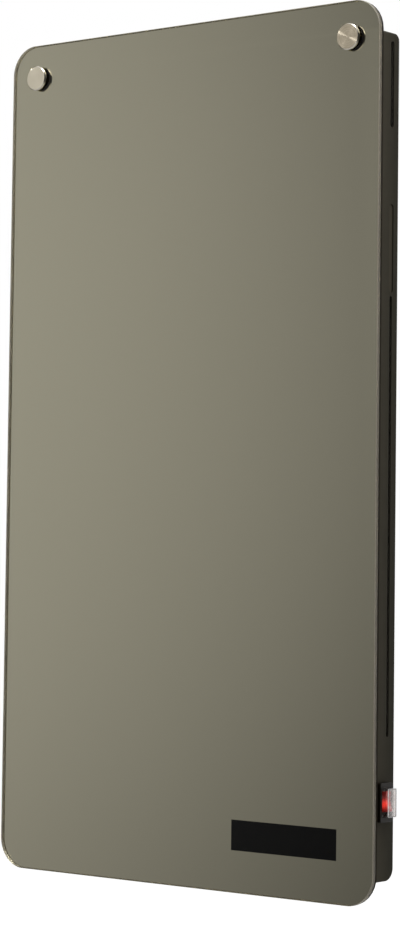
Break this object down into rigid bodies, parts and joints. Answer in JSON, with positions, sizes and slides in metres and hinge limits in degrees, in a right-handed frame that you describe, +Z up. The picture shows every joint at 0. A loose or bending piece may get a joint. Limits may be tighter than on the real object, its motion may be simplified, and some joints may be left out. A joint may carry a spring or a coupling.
{
  "type": "infrared mirror heater",
  "caption": "Wall-hung infrared heater: upright tinted mirror glass held by round caps, shallow black steel casing, lit rocker switch, hooks on a wall bracket.",
  "frame": {"origin": "centre of the wall bracket's rear face, on the wall", "axes": "+X to the right of someone looking into the mirror, +Y into the wall, +Z up; the mirror faces -Y"},
  "size_m": [0.55, 0.0863, 1],
  "materials": {
    "mirror_glass": "polished",
    "dark_window": "gloss",
    "black_paint": "satin",
    "brushed_cap": "satin",
    "zinc_steel": "satin",
    "bare_aluminium": "satin",
    "black_plastic": "satin",
    "black_rubber": "matte",
    "nylon": "satin",
    "clear_cover": "gloss",
    "red_rocker": "gloss",
    "lamp_glass": "gloss",
    "brass": "satin",
    "circuit_board": "satin",
    "relay_case": "satin",
    "carbon_film": "matte",
    "mineral_board": "matte",
    "loom_sleeve": "satin"
  },
  "bodies": {
    "bracket": {"wall_bracket": "zinc_steel"},
    "heater": {"mirror_glass": "mirror_glass", "edge_seal": "black_rubber", "display_window": "dark_window", "display_housing": "black_plastic", "display_board": "circuit_board", "heating_film": "carbon_film", "insulation_board": "mineral_board", "support_tray": "bare_aluminium", "thermal_cutout": "zinc_steel", "rear_shell": "black_paint", "front_frame": "black_paint", "frame_screw_1": "zinc_steel", "frame_screw_2": "zinc_steel", "frame_screw_3": "zinc_steel", "frame_screw_4": "zinc_steel", "left_cheek": "black_paint", "left_slot_blank": "black_paint", "left_cap": "brushed_cap", "left_front_washer": "black_rubber", "left_rear_washer": "nylon", "left_barrel": "brushed_cap", "left_stud": "zinc_steel", "left_nut": "zinc_steel", "left_bonded_stud": "zinc_steel", "left_low_spacer": "black_rubber", "left_low_nut": "zinc_steel", "left_wall_pad": "black_rubber", "right_cheek": "black_paint", "right_slot_blank": "black_paint", "right_cap": "brushed_cap", "right_front_washer": "black_rubber", "right_rear_washer": "nylon", "right_barrel": "brushed_cap", "right_stud": "zinc_steel", "right_nut": "zinc_steel", "right_bonded_stud": "zinc_steel", "right_low_spacer": "black_rubber", "right_low_nut": "zinc_steel", "right_wall_pad": "black_rubber", "control_carrier": "black_plastic", "control_board": "circuit_board", "relay": "relay_case", "power_supply": "black_plastic", "room_sensor": "nylon", "gland_body": "black_plastic", "gland_nut": "black_plastic", "gland_dome": "black_plastic", "terminal_block": "nylon", "switch_bezel": "black_plastic", "splash_cover": "clear_cover", "switch_body": "black_plastic", "switch_lamp": "lamp_glass", "switch_blade_1": "brass", "switch_blade_2": "brass", "switch_blade_3": "brass", "mains_loom": "loom_sleeve", "heater_loom": "loom_sleeve", "display_loom": "loom_sleeve"},
    "rocker": {"rocker": "red_rocker"}
  },
  "joints": [
    {"name": "lift_off", "type": "slide", "parent": "bracket", "child": "heater", "axis": [0, 0, 1], "range_m": [0, 0.013]},
    {"name": "rocker_tilt", "type": "hinge", "parent": "heater", "child": "rocker", "pos_m": [0.2475, -0.03, -0.7217], "axis": [0, 1, 0], "range_deg": [0, 14]}
  ]
}
